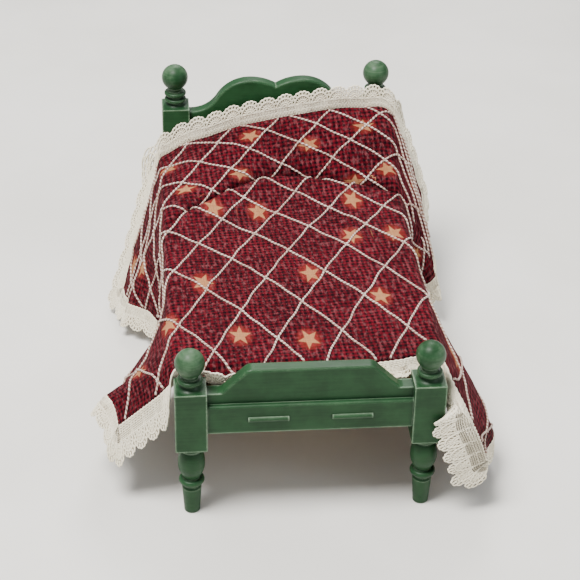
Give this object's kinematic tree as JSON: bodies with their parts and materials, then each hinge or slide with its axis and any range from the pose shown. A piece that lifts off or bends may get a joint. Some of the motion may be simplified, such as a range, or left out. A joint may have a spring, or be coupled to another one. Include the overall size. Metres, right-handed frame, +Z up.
{
  "type": "miniature four poster bed",
  "caption": "Dolls' house bed with turned ball-topped posts, a camel-back headboard, slats, mattress, pillow and a lace-edged coverlet.",
  "frame": {"origin": "on the floor under the middle of the bed", "axes": "+Y from the foot to the head, +X to the right seen from the foot, +Z up"},
  "size_m": [0.1288, 0.1582, 0.0893],
  "materials": {
    "green_paint": "satin green paint",
    "bare_wood": "bare",
    "ticking": "plain weave",
    "pillow_cotton": "plain weave",
    "homespun": "checked plain weave",
    "crochet_lace": "crochet"
  },
  "bodies": {
    "frame": {"foot_post_left": "green_paint", "foot_post_right": "green_paint", "head_post_left": "green_paint", "head_post_right": "green_paint", "footboard_panel": "green_paint", "footboard_rail": "green_paint", "footboard_bar_left": "green_paint", "footboard_bar_right": "green_paint", "headboard_panel": "green_paint", "headboard_rail": "green_paint", "side_rail_left": "green_paint", "side_rail_right": "green_paint", "slat_ledger_left": "bare_wood", "slat_ledger_right": "bare_wood", "bed_slat_1": "bare_wood", "bed_slat_2": "bare_wood", "bed_slat_3": "bare_wood", "bed_slat_4": "bare_wood", "bed_slat_5": "bare_wood", "bed_slat_6": "bare_wood"},
    "mattress": {"mattress": "ticking"},
    "pillow": {"pillow": "pillow_cotton"},
    "coverlet": {"coverlet_top": "homespun", "coverlet_left_fall": "homespun", "coverlet_right_fall": "homespun", "coverlet_foot_fall": "homespun", "lace_head": "crochet_lace", "lace_foot": "crochet_lace", "lace_left": "crochet_lace", "lace_right": "crochet_lace"}
  },
  "joints": [
    {"name": "mattress_lift", "type": "slide", "parent": "frame", "child": "mattress", "axis": [0, 0, 1], "range_m": [0, 0.06]},
    {"name": "pillow_lift", "type": "slide", "parent": "mattress", "child": "pillow", "axis": [0, 0, 1], "range_m": [0, 0.04]},
    {"name": "coverlet_lift", "type": "slide", "parent": "pillow", "child": "coverlet", "axis": [0, 0, 1], "range_m": [0, 0.09]}
  ]
}
